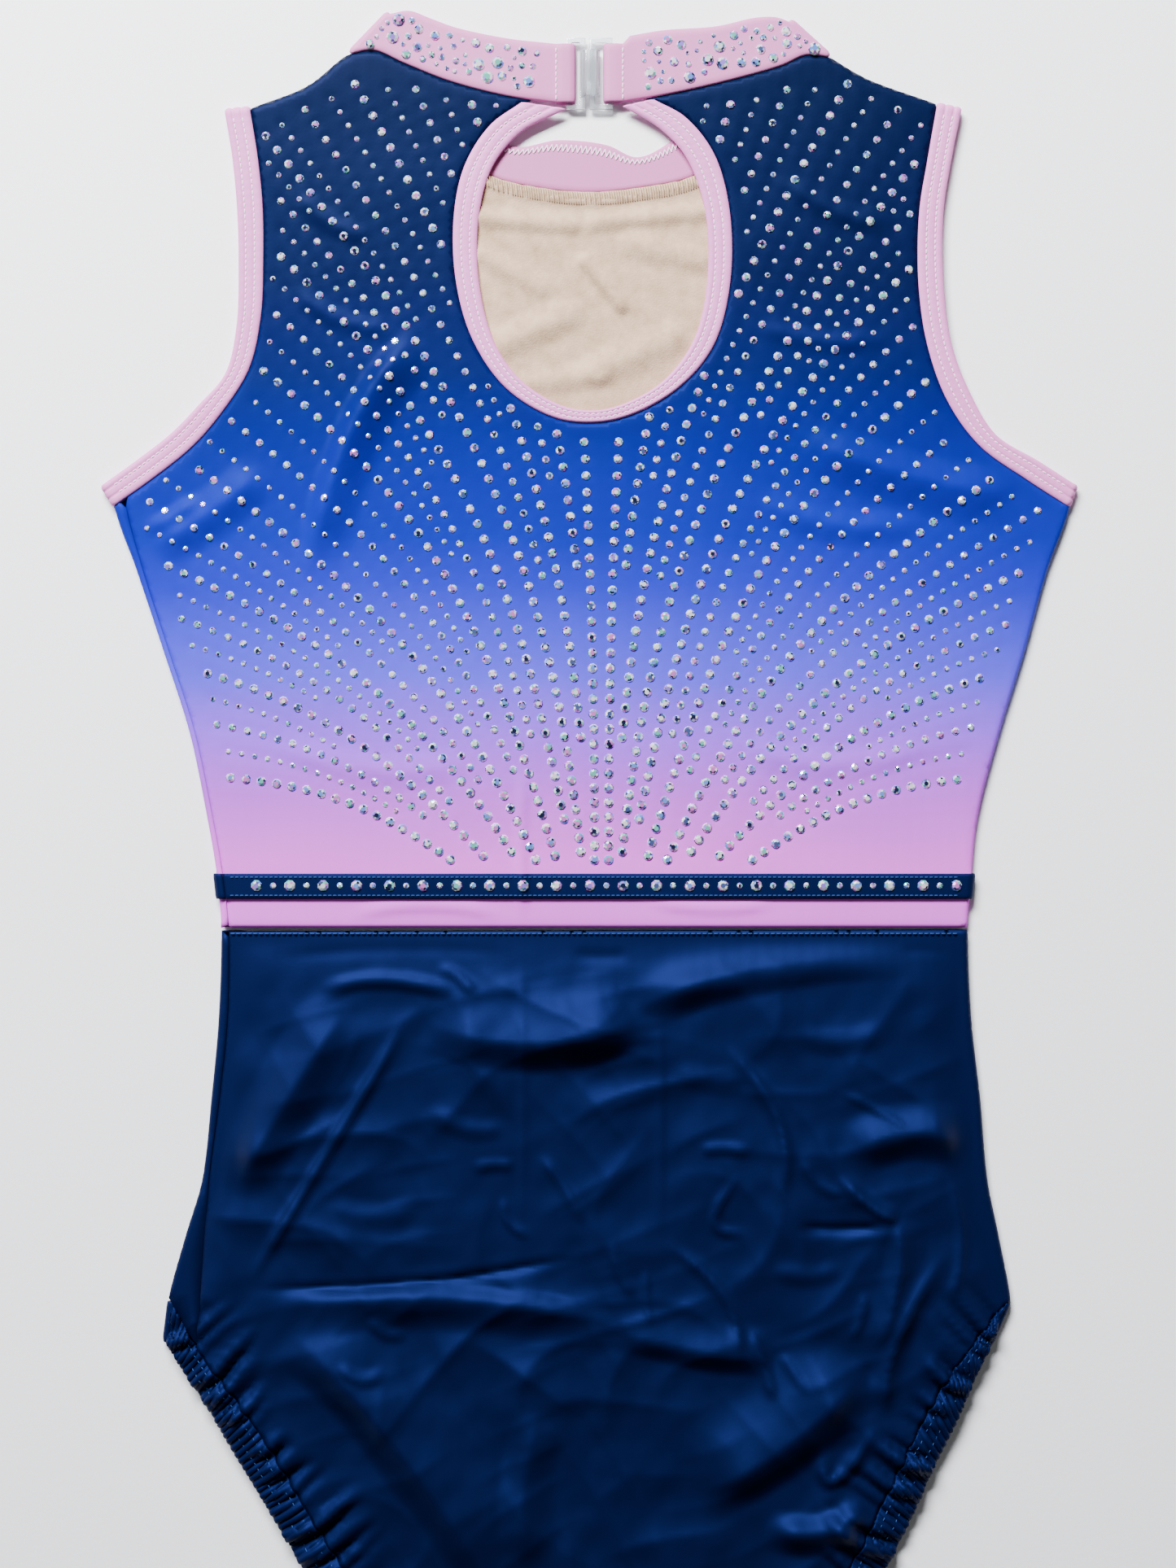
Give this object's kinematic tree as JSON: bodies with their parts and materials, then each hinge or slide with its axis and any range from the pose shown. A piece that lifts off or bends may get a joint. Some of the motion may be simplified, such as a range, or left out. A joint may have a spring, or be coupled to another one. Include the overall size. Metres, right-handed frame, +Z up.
{
  "type": "sleeveless gymnastics leotard laid flat",
  "caption": "Sleeveless mock-neck gymnastics leotard laid flat with its back up, open keyhole back, hook clasp at the collar and gathered leg hems.",
  "frame": {"origin": "middle of the underside of the bounding box, on the surface that the garment lies on", "axes": "+X across the garment, to the right as the picture shows it; +Y along it toward the collar; +Z up, out of the back of the garment"},
  "size_m": [0.3607, 0.6561, 0.009],
  "materials": {
    "ombre_cloth": "satin stretch knit, dyed from navy at the shoulders through royal blue and lilac to pink at the waist",
    "navy_cloth": "satin stretch knit",
    "pink_cloth": "satin stretch knit, doubled",
    "lining": "matte knit",
    "clear_plastic": "clear"
  },
  "bodies": {
    "root": {"back_bodice": "ombre_cloth", "front_bodice": "ombre_cloth", "front_lining": "lining", "waist_strip_back": "navy_cloth", "waist_strip_front": "navy_cloth", "back_brief": "navy_cloth", "front_brief": "navy_cloth", "collar": "pink_cloth", "keyhole_binding": "pink_cloth", "armhole_binding_left": "pink_cloth", "armhole_binding_right": "pink_cloth", "leg_hem_left": "navy_cloth", "leg_hem_right": "navy_cloth", "clasp_hook": "clear_plastic", "clasp_eye": "clear_plastic"}
  },
  "joints": []
}
